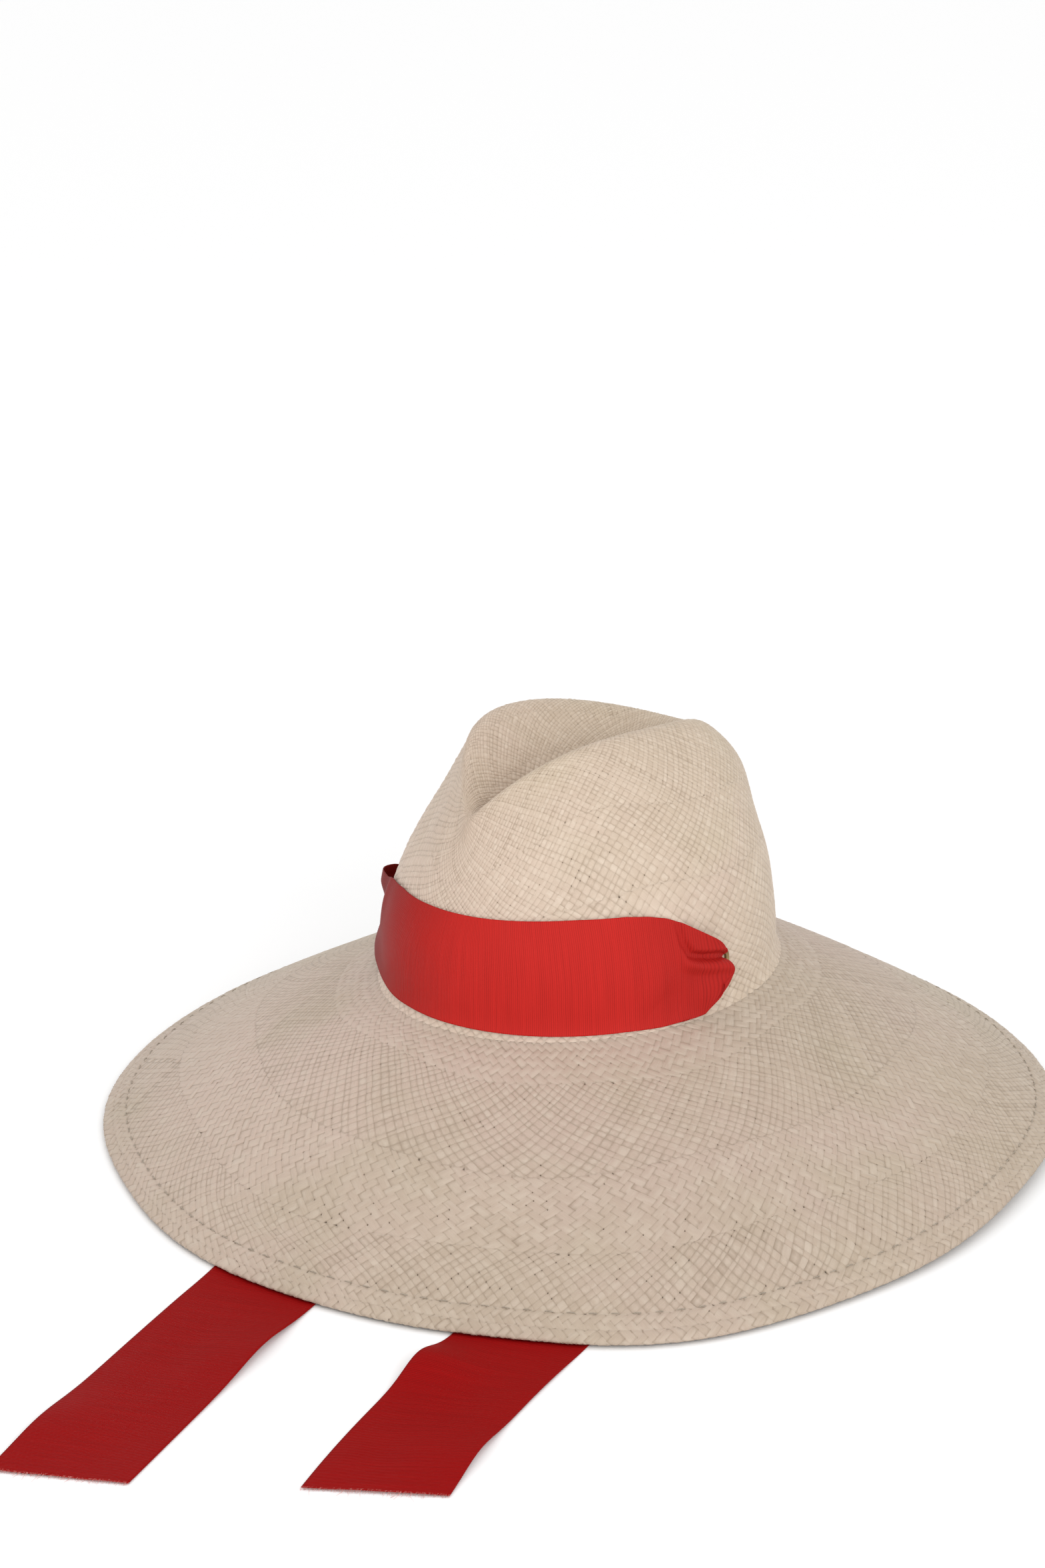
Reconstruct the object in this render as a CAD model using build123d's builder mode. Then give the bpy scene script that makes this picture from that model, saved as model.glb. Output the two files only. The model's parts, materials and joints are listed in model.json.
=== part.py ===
"""Wide-brimmed panama hat with a ribbon that crosses the front of the crown and ties under the chin.

Millimetres, +Z up.  Z = 0 is the surface that the brim's edge rests on, the origin is on the vertical
axis through the middle of the head opening, the hat's front faces -Y and the wearer's left is +X.
"""
import os
from math import atan2, cos, pi, radians, sin

from build123d import *

os.makedirs("parts", exist_ok=True)

# ---------------------------------------------------------------- driving dimensions
STRAW = 1.6             # thickness of the woven straw
BREAK_Z = 80.0          # height of the line where the crown meets the brim
CROWN_A = 86.0          # half width of the crown, outside, at that line
CROWN_B = 102.0         # half length of the crown, outside, at that line
BRIM_A = 226.0          # half width of the brim
BRIM_B = 231.0          # half length of the brim
BRIM_SAG = 0.15         # how far the brim's slope bulges upwards, as a share of its drop
EDGE_Z = 3.4            # height of the brim's top face at its very edge
HEM_FROM = 0.91         # share of the brim's width where the turned-under hem begins
TIE_RELIEF = 1.2        # the edge stands this far off the surface where the ties pass under it
RELIEF_AREA = (60.0, -175.0, 340.0, 150.0)     # that stretch: middle in X and Y, width and length

EYELET_Z = 102.5        # height of the two eyelets
EYELET_BORE = 4.8       # radius of the eyelets' hole
FLANGE_R = 7.0          # radius of the eyelets' flange and of their washers
FLANGE_T = 0.7          # thickness of the flange and of the washer
BARREL_T = 0.5          # thickness of the eyelets' barrel
ROLL = 0.3              # how far the barrel is rolled over the washer
THROUGH = 20.0          # length of the tool that cuts the eyelets' holes
EYELET_ANGLES = {"left": 88.0, "right": -76.0}  # degrees round from the hat's front

RIBBON_W = 57.0         # width of the ribbon
RIBBON_T = 0.6          # thickness of the ribbon
BAND_LOW = 81.5         # height of the lower edge of the ribbon round the crown
BAND_GAP = 0.3          # how far the ribbon stands off the straw
TAPER = 40.0            # length over which the ribbon gathers into an eyelet
GATHER = 4.3            # half height of the gathered ribbon at an eyelet
THROAT = 5.4            # how deep the gathered ribbon reaches in from the outside of the straw
BAND_SLACK = 1.5        # width that the ribbon loses as it lies on the sloping wall
RIM_CLEAR = 0.7         # room between the ribbon and an eyelet's flange
RIM_WIDTH = 3.5         # width of the ribbon's fold round an eyelet, from the flange outwards

TIE_HEADING = radians(-72.5)   # direction in which both ties lie on the surface, from +X
TIE_BEND = {"left": (69.5, -8.0), "right": (-51.5, -32.0)}    # where each tie meets the surface
TIE_TOP_SHIFT = {"left": 7.0, "right": -17.1}    # the tie's top end, sideways from its bend
TIE_LEAN = {"left": 5.7, "right": 15.5}         # the tie's top end, backwards from its bend
TIE_LENGTH = {"left": 335.0, "right": 386.0}     # length lying on the surface, at the middle
TIE_SLANT = {"left": 17.0, "right": 12.0}        # how far the cut end is off square
TIE_GAP = 0.8           # from the bend's axis to the start of the lying ribbon
TIE_NECK = 7.0          # width of the gathered ribbon just inside an eyelet
TIE_FULL_AT = 40.0      # height below which the hanging ribbon has its full width
TIE_SHOULDER = 32.0     # from there up to where it has gathered to its neck

SWEAT_T = 1.1           # thickness of the sweatband
SWEAT_GAP = 0.4         # from the straw to the sweatband
SEAT = 0.9              # room for the wall's curve under the washers
TAB_W, TAB_H, TAB_T = 14.0, 30.0, 0.8  # the tape over the sweatband's join
TAB_GAP = 0.6           # from the sweatband to the tape
TAB_CORNER = 2.0        # rounding of the tape's corners
TAB_LIFT = 3.0          # from the sweatband's lower edge to the tape
SWEAT_LOW, SWEAT_HIGH = 81.0, 117.0    # heights of the sweatband's edges
STITCH = 0.5            # thickness of the sewing thread
HEM_STITCHES = 150
HEM_STITCH_LENGTH = 4.5
HEM_ROW = 0.925         # share of the brim's width where the hem's stitches lie
HEM_STAND = 0.45        # from the straw to the middle of a hem stitch
SWEAT_STITCHES = 110
SWEAT_STITCH_LENGTH = 3.0
SWEAT_ROW = 2.5         # from the sweatband's lower edge up to its stitches
SWEAT_STAND = 0.35      # from the sweatband to the middle of a stitch

# Rings of the crown, from the brim break to the top: height, half width, half length, how far the
# ring's middle lies behind the origin, how steeply it rises to the front, and how far its front
# half is pinched in.
CROWN_RINGS = [
    (BREAK_Z, CROWN_A, CROWN_B, 0.0, 0.0, 0.0),
    (108.0, 84.5, 100.5, 0.0, 0.0, 0.0),
    (136.0, 81.0, 97.0, 1.0, 1.0, 0.02),
    (160.0, 75.0, 91.0, 4.0, 4.0, 0.18),
    (180.0, 65.0, 83.0, 6.0, 7.0, 0.34),
    (195.0, 52.0, 73.0, 8.0, 9.0, 0.45),
    (204.0, 36.0, 60.0, 9.0, 10.0, 0.45),
    (208.0, 17.0, 42.0, 10.0, 10.0, 0.45),
]
# Rings of the teardrop-shaped hollow pressed into the top, from its floor upwards.
HOLLOW_RINGS = [
    (168.0, 5.0, 40.0, -18.0, -6.0, 0.30),
    (178.0, 12.0, 52.0, -12.0, 2.0, 0.45),
    (192.0, 21.0, 62.0, -4.0, 7.0, 0.50),
    (206.0, 31.0, 68.0, 2.0, 10.0, 0.50),
    (224.0, 52.0, 78.0, 2.0, 10.0, 0.50),
]
RING_POINTS = 24
WALL_TOP = 140.0        # the crown's upright wall ends here
CROWN_FOOT = (70.0, 86.535, 102.535, 0.0, 0.0, 0.0)    # the wall carried on below the brim break
TOP_THINNING = 0.6      # the sloping top is this share of the straw's thickness, measured upright
BRIM_SHARES = [1.0, HEM_FROM, 0.75, 0.5, 0.25]         # where the brim's slope changes, edge first
BRIM_INNER = -0.03      # the brim's top face carries on to this share, inside the crown's wall


# ---------------------------------------------------------------- shared shapes
def ring_sketch(ring, grow=0.0, lift=0.0):
    """A closed egg-shaped outline on its own, slightly tilted plane."""
    height, half_width, half_length, back, rise, pinch = ring
    slope = radians(rise)
    plane = Plane(origin=(0, back, height + lift), x_dir=(1, 0, 0), z_dir=(0, sin(slope), cos(slope)))
    points = []
    for i in range(RING_POINTS):
        turn = 2 * pi * i / RING_POINTS
        narrow = 1 - pinch * ((1 + cos(turn)) / 2) ** 1.5
        points.append(((half_width + grow) * sin(turn) * narrow, -(half_length + grow) * cos(turn)))
    with BuildSketch(plane) as outline:
        with BuildLine():
            Spline(*points, periodic=True)
        make_face()
    return outline.sketch


def brim_height(share):
    """Height of the brim's top face, share being 0 at the crown and 1 at the edge."""
    return EDGE_Z + (BREAK_Z - EDGE_Z) * ((1 - share) + BRIM_SAG * share * (1 - share))


def brim_axes(share):
    """Half width and half length of the brim at that share of its width."""
    return CROWN_A + (BRIM_A - CROWN_A) * share, CROWN_B + (BRIM_B - CROWN_B) * share


def oval_point(half_width, half_length, turn):
    """A point of an oval and the direction it faces, turn being the angle from the hat's front."""
    point = Vector(half_width * sin(turn), -half_length * cos(turn), 0)
    facing = Vector(sin(turn) / half_width, -cos(turn) / half_length, 0).normalized()
    return point, facing


def wall_ring_at(height):
    """Half width and half length of the crown's outside between the two lowest rings of its wall."""
    low, high = (CROWN_RINGS[0], CROWN_RINGS[1]) if height < CROWN_RINGS[1][0] else CROWN_RINGS[1:3]
    share = (height - low[0]) / (high[0] - low[0])
    return low[1] + (high[1] - low[1]) * share, low[2] + (high[2] - low[2]) * share


def eyelet_plane(side):
    """Plane on the crown's outside at an eyelet: its normal points outwards and its Y is up."""
    half_width, half_length = wall_ring_at(EYELET_Z)
    point, facing = oval_point(half_width, half_length, radians(EYELET_ANGLES[side]))
    across = Vector(0, 0, 1).cross(facing)
    slope = atan2(CROWN_RINGS[0][1] - CROWN_RINGS[1][1], CROWN_RINGS[1][0] - CROWN_RINGS[0][0])
    facing = facing * cos(slope) + Vector(0, 0, sin(slope))
    return Plane(origin=(point.X, point.Y, EYELET_Z), x_dir=across, z_dir=facing)


# ---------------------------------------------------------------- straw body: crown and brim, one weave
def ring_solid(rings, grow=0.0, lift=0.0):
    """A solid through a stack of rings; lift is how far each ring above the wall is moved up."""
    with BuildPart() as solid:
        for ring in rings:
            add(ring_sketch(ring, grow, lift if ring[0] > WALL_TOP else 0.0))
        loft(ruled=True)
    return solid.part


brim_slope = atan2(BREAK_Z, BRIM_A - CROWN_A)
crown_outside = ring_solid([CROWN_FOOT] + CROWN_RINGS[1:])
crown_inside = ring_solid([CROWN_FOOT] + CROWN_RINGS[1:], -STRAW, -STRAW * TOP_THINNING)
hollow_tool = ring_solid(HOLLOW_RINGS)
hollow_wall = ring_solid(HOLLOW_RINGS, STRAW, -STRAW)

with BuildPart() as straw_body:
    with BuildSketch(Plane.XY):
        Ellipse(BRIM_A, BRIM_B)
    extrude(amount=EDGE_Z)
    for low, high in zip(BRIM_SHARES, BRIM_SHARES[1:] + [BRIM_INNER]):
        with BuildSketch(Plane.XY.offset(brim_height(low))):
            Ellipse(*brim_axes(low))
        with BuildSketch(Plane.XY.offset(brim_height(high))):
            Ellipse(*brim_axes(high))
        loft(ruled=True)
    add(crown_outside)
    add(hollow_tool, mode=Mode.SUBTRACT)
    # underside of the brim: two layers thick inside the hem, one layer thick elsewhere
    slant = STRAW / cos(brim_slope)
    for low, high in zip(BRIM_SHARES, BRIM_SHARES[1:] + [0.0]):
        layers = 2 if low == 1.0 else 1
        with BuildSketch(Plane.XY.offset(brim_height(low) - layers * slant)):
            Ellipse(*brim_axes(low))
        with BuildSketch(Plane.XY.offset(brim_height(high) - layers * slant)):
            Ellipse(*brim_axes(high))
        loft(ruled=True, mode=Mode.SUBTRACT)
    with BuildSketch(Plane.XY.offset(-1)):
        Ellipse(*brim_axes(HEM_FROM))
    extrude(amount=1 + brim_height(HEM_FROM) - slant, mode=Mode.SUBTRACT)
    add(crown_inside - hollow_wall, mode=Mode.SUBTRACT)
    # the edge lifts a little where the two ties pass under it
    with BuildSketch(Plane.XY.offset(-1)):
        with Locations(RELIEF_AREA[:2]):
            Rectangle(*RELIEF_AREA[2:])
    extrude(amount=1 + TIE_RELIEF, mode=Mode.SUBTRACT)
    for side in EYELET_ANGLES:
        with BuildSketch(eyelet_plane(side).offset(-THROUGH / 2)):
            Circle(EYELET_BORE + FLANGE_T)
        extrude(amount=THROUGH, mode=Mode.SUBTRACT)
straw_body.part.label = "straw_body"
export_step(straw_body.part, "parts/straw_body.step")


# ---------------------------------------------------------------- eyelets and their washers
def make_eyelet(side):
    """Flange outside and barrel through the straw and the sweatband, rolled over the washer."""
    plane = eyelet_plane(side)
    reach = STRAW + SWEAT_GAP + SWEAT_T + SEAT + FLANGE_T + ROLL
    with BuildPart() as eyelet:
        with BuildSketch(plane):
            Circle(FLANGE_R)
            Circle(EYELET_BORE, mode=Mode.SUBTRACT)
        extrude(amount=FLANGE_T)
        with BuildSketch(plane):
            Circle(EYELET_BORE + BARREL_T)
            Circle(EYELET_BORE, mode=Mode.SUBTRACT)
        extrude(amount=-reach)
        top_edges = eyelet.edges().filter_by(GeomType.CIRCLE).sort_by(Axis(plane.origin, plane.z_dir))
        fillet(top_edges[-1:], FLANGE_T * 0.4)
    eyelet.part.label = f"eyelet_{side}"
    return eyelet.part


def make_washer(side):
    """Flat ring that clamps the sweatband from the inside."""
    plane = eyelet_plane(side).offset(-(STRAW + SWEAT_GAP + SWEAT_T + SEAT + FLANGE_T))
    with BuildPart() as washer:
        with BuildSketch(plane):
            Circle(FLANGE_R)
            Circle(EYELET_BORE + BARREL_T, mode=Mode.SUBTRACT)
        extrude(amount=FLANGE_T)
        rim = washer.edges().filter_by(GeomType.CIRCLE).sort_by(SortBy.RADIUS)
        fillet(rim[-2:], FLANGE_T * 0.3)
    washer.part.label = f"eyelet_washer_{side}"
    return washer.part


for side in EYELET_ANGLES:
    export_step(make_eyelet(side), f"parts/eyelet_{side}.step")
    export_step(make_washer(side), f"parts/eyelet_washer_{side}.step")

# ---------------------------------------------------------------- sweatband and its seam tab
sweat_low = [half - STRAW - SWEAT_GAP for half in wall_ring_at(SWEAT_LOW)]
sweat_high = [half - STRAW - SWEAT_GAP for half in wall_ring_at(SWEAT_HIGH)]
with BuildPart() as sweatband:
    for inset, mode in ((0.0, Mode.ADD), (SWEAT_T, Mode.SUBTRACT)):
        with BuildSketch(Plane.XY.offset(SWEAT_LOW)):
            Ellipse(sweat_low[0] - inset, sweat_low[1] - inset)
        with BuildSketch(Plane.XY.offset(SWEAT_HIGH)):
            Ellipse(sweat_high[0] - inset, sweat_high[1] - inset)
        loft(ruled=True, mode=mode)
    for side in EYELET_ANGLES:
        with BuildSketch(eyelet_plane(side).offset(-THROUGH / 2)):
            Circle(EYELET_BORE + FLANGE_T)
        extrude(amount=THROUGH, mode=Mode.SUBTRACT)
sweatband.part.label = "sweatband"
export_step(sweatband.part, "parts/sweatband.step")

# a folded tape over the sweatband's join, at the back of the head
with BuildPart() as seam_tape:
    tab_y = sweat_low[1] - SWEAT_T - TAB_T - TAB_GAP
    lean = atan2(sweat_low[1] - sweat_high[1], SWEAT_HIGH - SWEAT_LOW)
    with BuildSketch(Plane(origin=(0, tab_y, SWEAT_LOW + TAB_LIFT), x_dir=(1, 0, 0),
                           z_dir=(0, cos(lean), sin(lean)))):
        with Locations((0, -TAB_H / 2)):
            RectangleRounded(TAB_W, TAB_H, TAB_CORNER)
    extrude(amount=TAB_T)
seam_tape.part.label = "sweatband_seam_tape"
export_step(seam_tape.part, "parts/sweatband_seam_tape.step")


# ---------------------------------------------------------------- sewing threads
def stitch_ring(label, count, half_width, half_length, height, length, slope):
    """A ring of separate short stitches lying along an oval; slope tilts each with its surface."""
    stitches = []
    for i in range(count):
        turn = 2 * pi * (i + 0.5) / count
        point, facing = oval_point(half_width, half_length, turn)
        along = Vector(0, 0, 1).cross(facing)
        outward = facing * cos(slope) - Vector(0, 0, sin(slope))
        plane = Plane(origin=(point.X, point.Y, height), x_dir=along, z_dir=along.cross(outward))
        with BuildPart(plane) as stitch:
            Box(length, STITCH, STITCH)
        stitches.append(stitch.part)
    ring = Compound(children=stitches)
    ring.label = label
    export_step(ring, f"parts/{label}.step")


hem_axes = brim_axes(HEM_ROW)
stitch_ring("hem_stitching", HEM_STITCHES, hem_axes[0], hem_axes[1], brim_height(HEM_ROW) + HEM_STAND,
            HEM_STITCH_LENGTH, brim_slope)
sweat_row = SWEAT_LOW + SWEAT_ROW
row_axes = [half - STRAW - SWEAT_GAP - SWEAT_T - SWEAT_STAND for half in wall_ring_at(sweat_row)]
stitch_ring("sweatband_stitching", SWEAT_STITCHES, row_axes[0], row_axes[1], sweat_row,
            SWEAT_STITCH_LENGTH, 0.0)


# ---------------------------------------------------------------- ribbon round the front of the crown
def wall_shell(inner_gap, outer_gap):
    """A skin that follows the crown's wall between two distances from the straw."""
    wall = CROWN_RINGS[:4]
    return ring_solid(wall, outer_gap) - ring_solid(wall, inner_gap)


def eyelet_disc(side, radius):
    """A short post through the wall at an eyelet."""
    with BuildPart() as disc:
        with BuildSketch(eyelet_plane(side).offset(-THROUGH / 2)):
            Circle(radius)
        extrude(amount=THROUGH)
    return disc.part


band_high = BAND_LOW + RIBBON_W - BAND_SLACK
sector_start = {side: radians(angle) for side, angle in EYELET_ANGLES.items()}
taper_turn = 2 * TAPER / (CROWN_A + CROWN_B)
FAN_STEPS = 6           # straight sides of the fan that cuts out the ribbon between its tapers
FAN_REACH = 225.0       # radius of that fan
TAPER_INSIDE = 24.0     # how far behind an eyelet's plane its taper is cut
TAPER_DEEP = 40.0       # how thick the cutter of the tapers is
TAPER_OVERLAP = 12.0    # how far the tapers reach into the fan
TAPER_TOP = 6.0         # height that the top edge has still to gain halfway along its taper
with BuildPart() as band_window:
    with BuildSketch(Plane.XY.offset(BAND_LOW)):
        with BuildLine():
            first = sector_start["right"] + taper_turn
            last = sector_start["left"] - taper_turn
            fan = [(0.0, 0.0)]
            for i in range(FAN_STEPS + 1):
                turn = first + (last - first) * i / FAN_STEPS
                fan.append((FAN_REACH * sin(turn), -FAN_REACH * cos(turn)))
            Polyline(*fan, close=True)
        make_face()
    extrude(amount=band_high - BAND_LOW)
    for side, sign in (("left", -1), ("right", 1)):
        with BuildSketch(eyelet_plane(side).offset(-TAPER_INSIDE)):
            with BuildLine():
                Polyline(
                    (0, -GATHER),
                    (0, GATHER),
                    (sign * TAPER * 0.55, band_high - EYELET_Z - TAPER_TOP),
                    (sign * TAPER, band_high - EYELET_Z),
                    (sign * (TAPER + TAPER_OVERLAP), band_high - EYELET_Z),
                    (sign * (TAPER + TAPER_OVERLAP), BAND_LOW - EYELET_Z),
                    (sign * TAPER * 0.7, BAND_LOW - EYELET_Z),
                    close=True,
                )
            make_face()
        extrude(amount=TAPER_DEEP)

rim_gap = BAND_GAP + 1.5 * RIBBON_T       # the gathered end lies over the eyelet's flange
rim_top = rim_gap + RIBBON_T
band_skin = wall_shell(BAND_GAP, BAND_GAP + RIBBON_T) & band_window.part
band_step = wall_shell(BAND_GAP, rim_top) & band_window.part
band_cover = wall_shell(rim_gap, rim_top) & band_window.part
with BuildPart() as ribbon_band:
    add(band_skin)
    for side in EYELET_ANGLES:
        hole = eyelet_disc(side, FLANGE_R + RIM_CLEAR)
        rim = eyelet_disc(side, FLANGE_R + RIM_WIDTH)
        add(hole, mode=Mode.SUBTRACT)
        add((band_step & rim) - hole)
        add(band_cover & rim)
        with BuildSketch(eyelet_plane(side).offset(rim_top)):
            Ellipse(GATHER - 1.0, GATHER)
        extrude(amount=-(rim_top + THROAT))
ribbon_band.part.label = "ribbon_band"
export_step(ribbon_band.part, "parts/ribbon_band.step")

# ---------------------------------------------------------------- the two ties
heading = Vector(cos(TIE_HEADING), sin(TIE_HEADING), 0)
across = Vector(-heading.Y, heading.X, 0)


def make_drop(side):
    """The part of a tie that hangs from its eyelet to the surface."""
    bend = Vector(*TIE_BEND[side], TIE_GAP)
    rise = Vector(0, 0, EYELET_Z - TIE_GAP) - heading * TIE_LEAN[side]
    face = across.cross(rise)
    plane = Plane(origin=bend, x_dir=across, z_dir=face)
    top = rise.length
    shift = TIE_TOP_SHIFT[side]
    half = RIBBON_W / 2
    lead = 1 if shift > 0 else -1
    with BuildPart() as drop:
        with BuildSketch(plane.offset(-RIBBON_T / 2)):
            with BuildLine():
                Polyline(
                    (-lead * half, 0),
                    (lead * half, 0),
                    (lead * half, TIE_FULL_AT),
                    (shift + lead * TIE_NECK * 0.6, TIE_FULL_AT + TIE_SHOULDER),
                    (shift + lead * TIE_NECK / 2, top),
                    (shift - lead * TIE_NECK / 2, top),
                    (-lead * half, TIE_FULL_AT),
                    close=True,
                )
            make_face()
        extrude(amount=RIBBON_T)
    drop.part.label = f"tie_{side}_drop"
    return drop.part


def make_tail(side):
    """The part of a tie that lies on the surface, under the brim and beyond it."""
    plane = Plane(origin=(*TIE_BEND[side], 0), x_dir=heading, z_dir=(0, 0, 1))
    half = RIBBON_W / 2
    length, slant = TIE_LENGTH[side], TIE_SLANT[side]
    with BuildPart() as tail:
        with BuildSketch(plane):
            with BuildLine():
                Polyline(
                    (TIE_GAP, -half),
                    (length + slant / 2, -half),
                    (length - slant / 2, half),
                    (TIE_GAP, half),
                    close=True,
                )
            make_face()
        extrude(amount=RIBBON_T)
    tail.part.label = f"tie_{side}_tail"
    return tail.part


for side in TIE_BEND:
    export_step(make_drop(side), f"parts/tie_{side}_drop.step")
    export_step(make_tail(side), f"parts/tie_{side}_tail.step")
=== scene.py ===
"""Wide-brimmed panama hat with a red ribbon: the visual model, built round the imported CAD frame.

Shapes are worked out in millimetres, +Z up, the hat's front at -Y, and turned into metres when a mesh
is made.  A "turn" is the angle round the hat from its front, positive towards the wearer's left (+X).
"""
import json
import math

import bpy
import numpy as np
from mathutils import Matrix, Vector


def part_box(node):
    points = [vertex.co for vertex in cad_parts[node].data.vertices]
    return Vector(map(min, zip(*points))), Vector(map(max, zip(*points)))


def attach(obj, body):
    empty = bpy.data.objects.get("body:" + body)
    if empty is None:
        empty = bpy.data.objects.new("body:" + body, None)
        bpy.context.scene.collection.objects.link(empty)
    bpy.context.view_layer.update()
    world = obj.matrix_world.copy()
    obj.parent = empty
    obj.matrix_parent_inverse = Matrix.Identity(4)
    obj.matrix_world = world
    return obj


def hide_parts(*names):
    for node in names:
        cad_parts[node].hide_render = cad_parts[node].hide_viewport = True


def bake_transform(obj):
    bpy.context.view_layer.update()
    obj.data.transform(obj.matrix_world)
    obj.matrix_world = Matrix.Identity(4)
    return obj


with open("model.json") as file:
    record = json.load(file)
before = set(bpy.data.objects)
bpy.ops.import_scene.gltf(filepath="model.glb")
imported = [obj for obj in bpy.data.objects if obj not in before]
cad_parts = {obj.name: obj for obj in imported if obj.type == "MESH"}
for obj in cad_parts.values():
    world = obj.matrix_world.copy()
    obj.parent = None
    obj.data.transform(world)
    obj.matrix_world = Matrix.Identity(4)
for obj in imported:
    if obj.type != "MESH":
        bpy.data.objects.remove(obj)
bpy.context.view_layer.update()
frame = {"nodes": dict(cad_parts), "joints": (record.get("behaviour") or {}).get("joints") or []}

MM = 0.001

# ---- sizes read from the frame
straw_low, straw_high = [np.array(corner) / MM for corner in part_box("straw_body")]
BRIM_A, BRIM_B = (straw_high - straw_low)[:2] / 2  # half the brim's width and half its length
sweat_low, sweat_high = [np.array(corner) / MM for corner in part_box("sweatband")]
JOINT_AT = {joint["name"]: np.array(joint["pos_m"]) / MM for joint in frame["joints"]}

# ---- driving sizes of the looks
STRAW = 1.6  # thickness of the weave
CROWN_A, CROWN_B = 86.0, 102.0  # half width and half length of the crown's foot
BREAK_Z = 80.0  # height of the line where the crown meets the brim
EDGE_Z = 3.4  # height of the brim's top face at its very edge
BRIM_SAG = 0.15  # how far the brim's slope bulges upwards, as a share of its drop
RELIEF = 0.36  # how far a strand stands above the gaps between strands
INSIDE_RELIEF = 0.3  # the same on the inside and the underside

RIBBON_W = 57.0
RIBBON_T = 0.45
THROAT = 9.0  # how far the gathered ribbon reaches in through an eyelet
RIB_PITCH = 0.95  # of the ribbon's ribs
THREAD_PITCH = 0.9  # of the sweatband's cloth
SWEATBAND_T = 0.9
TAPE_T = 0.7
TIE_HEADING = math.radians(-72.5)  # direction in which both ties lie, from +X
TIE_BEND = {"left": (69.5, -8.0), "right": (-51.5, -32.0)}  # where each tie meets the surface
TIE_LYING = {"left": 335.0, "right": 386.0}  # length lying on the surface
TIE_SLANT = {"left": 17.0, "right": 12.0}  # how far the cut end is off square
TIE_NECK = 6.5  # width of the gathered ribbon at its eyelet
TIE_LIFT = 0.45  # height of a lying tie's middle above the floor
BEND_RADIUS = 9.0  # of the turn from hanging to lying
# where along each tie the brim presses it flat, and how widely
UNDER_EDGE = {"left": (195.0, 24.0), "right": (208.0, 33.0)}

STRAW_COLOURS = ((0.530, 0.426, 0.325), (0.590, 0.482, 0.376), (0.600, 0.460, 0.388), (0.525, 0.445, 0.318))
FIBRE_BROWN = (0.37, 0.27, 0.17)
PALE_STRAW = (0.70, 0.60, 0.49)
# painted shade: colours for the gaps between strands and for the open pits where four strands meet
GAP_PAINTED_SHADE = (0.27, 0.195, 0.13)
PIT_PAINTED_SHADE = (0.035, 0.022, 0.014)
PINK_SPOT, PINK_STRAW = (-0.07, -0.13, 0.07), (0.72, 0.555, 0.475)  # a rosier patch, place in metres
# painted shade: the brim's top and the inside faces are copies of the crown's straw painted darker, as if lit
# less
BRIM_PAINTED_SHADE, INSIDE_PAINTED_SHADE = 0.83, 0.86  # these faces' colour as a share of the crown's
# painted light and shade: one ribbon in two reds, the band's brighter as if lit, with its green and blue
# raised as a painted highlight of the ribs, and the ties' darker as if in shade
LIT_BAND_RED = (0.50, 0.019, 0.015)
SHADED_TIE_RED = (0.285, 0.0045, 0.0045)
# stretches along the ribbon painted darker as painted shade: from, to, and how dark it is at each
PAINTED_SHADE_STRETCHES = ((40.0, 135.0, 0.9, 0.0), (215.0, 262.0, 0.0, 0.36))


# ---- mesh helpers
def new_piece(name, points, quads, triangles=()):
    """A smooth-shaded mesh object from points in millimetres."""
    quads = np.asarray(quads, np.int32).reshape(-1, 4)
    triangles = np.asarray(triangles, np.int32).reshape(-1, 3)
    loops = np.concatenate([quads.ravel(), triangles.ravel()])
    starts = np.concatenate([np.arange(len(quads)) * 4, len(quads) * 4 + np.arange(len(triangles)) * 3])
    mesh = bpy.data.meshes.new(name)
    mesh.vertices.add(len(points))
    mesh.vertices.foreach_set("co", (np.asarray(points) * MM).astype(np.float32).ravel())
    mesh.loops.add(len(loops))
    mesh.loops.foreach_set("vertex_index", loops)
    mesh.polygons.add(len(starts))
    mesh.polygons.foreach_set("loop_start", starts.astype(np.int32))
    mesh.update(calc_edges=True)
    mesh.polygons.foreach_set("use_smooth", np.ones(len(starts), bool))
    piece = bpy.data.objects.new(name, mesh)
    bpy.context.scene.collection.objects.link(piece)
    return piece


def corner_indices(piece):
    """The vertex index of every face corner."""
    found = np.zeros(len(piece.data.loops), np.int32)
    piece.data.loops.foreach_get("vertex_index", found)
    return found


def set_uv(piece, name, per_corner):
    """Stores a UV map given one pair of numbers for each face corner."""
    layer = piece.data.uv_layers.new(name=name)
    layer.data.foreach_set("uv", np.asarray(per_corner, np.float32).ravel())


def grid_quads(rows, columns, closed=False):
    """Quads of a grid of rows x columns vertices; closed joins the last column to the first."""
    last = columns if closed else columns - 1
    row = np.arange(rows - 1)[:, None]
    column = np.arange(last)[None, :]
    after = (column + 1) % columns
    corners = [row * columns + column, row * columns + after,
               (row + 1) * columns + after, (row + 1) * columns + column]
    return np.stack([c + 0 * row for c in corners], -1).reshape(-1, 4)


def smooth_step(x, low=0.0, high=1.0):
    """Rises smoothly from 0 at low to 1 at high, or falls where high is the smaller of the two."""
    t = np.clip((np.asarray(x, float) - low) / (high - low), 0, 1)
    return t * t * (3 - 2 * t)


def bell(x, middle, width):
    """A smooth hump, 1 at the middle."""
    return np.exp(-((np.asarray(x, float) - middle) / width) ** 2)


def ripple(x, y, seed):
    """A smooth uneven wave between about -1 and 1."""
    draw = np.random.default_rng(seed)
    total = 0.0
    for i in range(5):
        fx, fy, shift = draw.uniform(0.4, 1.6), draw.uniform(0.4, 1.6), draw.uniform(0, 6.28)
        total = total + np.sin(x * fx * (1 + i * 0.5) + shift) * np.cos(y * fy * (1 + i * 0.5) + 2 * shift)
    return total / 3


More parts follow.
